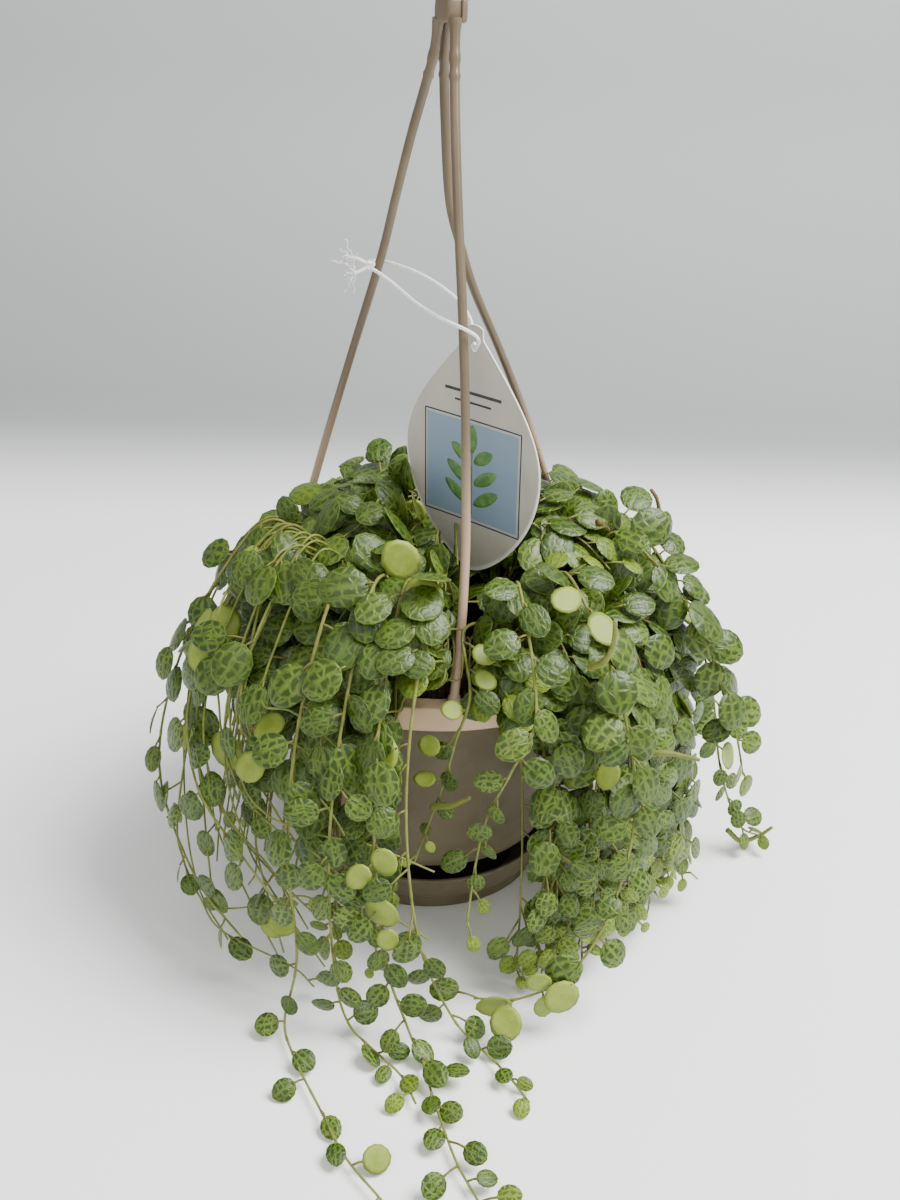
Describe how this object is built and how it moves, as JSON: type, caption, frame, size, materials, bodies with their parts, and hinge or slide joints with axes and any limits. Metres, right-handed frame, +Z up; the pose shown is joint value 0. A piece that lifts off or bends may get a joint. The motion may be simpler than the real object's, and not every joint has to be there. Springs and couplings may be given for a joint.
{
  "type": "hanging potted trailing plant",
  "caption": "Trailing succulent vines with round patterned leaves, spilling from a plastic pot with a saucer, a three-arm hanger and a hang tag.",
  "frame": {"origin": "centre of the saucer's flat underside, on the surface that the pot stands on", "axes": "+Z up; -Y towards the hanger's front arm and the vines that trail on the surface; +X to the right seen from the front"},
  "size_m": [0.2391, 0.3185, 0.3293],
  "materials": {
    "leaf_green": "satin",
    "potting_soil": "matte",
    "taupe_plastic": "satin",
    "tag_card": "satin",
    "white_cotton": "matte"
  },
  "bodies": {
    "root": {"hanger_arm_front": "taupe_plastic", "hanger_arm_left": "taupe_plastic", "hanger_arm_right": "taupe_plastic", "hanger_hook": "taupe_plastic", "pot": "taupe_plastic", "saucer": "taupe_plastic", "soil": "potting_soil", "string_knot": "white_cotton", "tag": "tag_card", "tag_string": "white_cotton", "vine_bundle_lower": "leaf_green", "vine_bundle_upper": "leaf_green", "vine_crown_01": "leaf_green", "vine_crown_02": "leaf_green", "vine_crown_03": "leaf_green", "vine_crown_04": "leaf_green", "vine_crown_05": "leaf_green", "vine_crown_06": "leaf_green", "vine_crown_07": "leaf_green", "vine_crown_08": "leaf_green", "vine_crown_09": "leaf_green", "vine_mantle_01": "leaf_green", "vine_mantle_02": "leaf_green", "vine_mantle_03": "leaf_green", "vine_mantle_04": "leaf_green", "vine_mantle_05": "leaf_green", "vine_mantle_06": "leaf_green", "vine_mantle_07": "leaf_green", "vine_mantle_08": "leaf_green", "vine_mantle_09": "leaf_green", "vine_mantle_10": "leaf_green", "vine_mantle_11": "leaf_green", "vine_mantle_12": "leaf_green", "vine_mantle_13": "leaf_green", "vine_mantle_14": "leaf_green", "vine_mantle_15": "leaf_green", "vine_mantle_16": "leaf_green", "vine_mantle_17": "leaf_green", "vine_mantle_18": "leaf_green", "vine_mantle_19": "leaf_green", "vine_mantle_20": "leaf_green", "vine_mantle_21": "leaf_green", "vine_runner_left": "leaf_green", "vine_runner_middle": "leaf_green", "vine_runner_right": "leaf_green", "vine_runner_short": "leaf_green", "vine_shoot_on_pot": "leaf_green", "vine_skirt_front": "leaf_green", "vine_sprig_right_high": "leaf_green", "vine_sprig_right_low": "leaf_green", "vine_strand_back": "leaf_green", "vine_strand_on_pot": "leaf_green"}
  },
  "joints": []
}
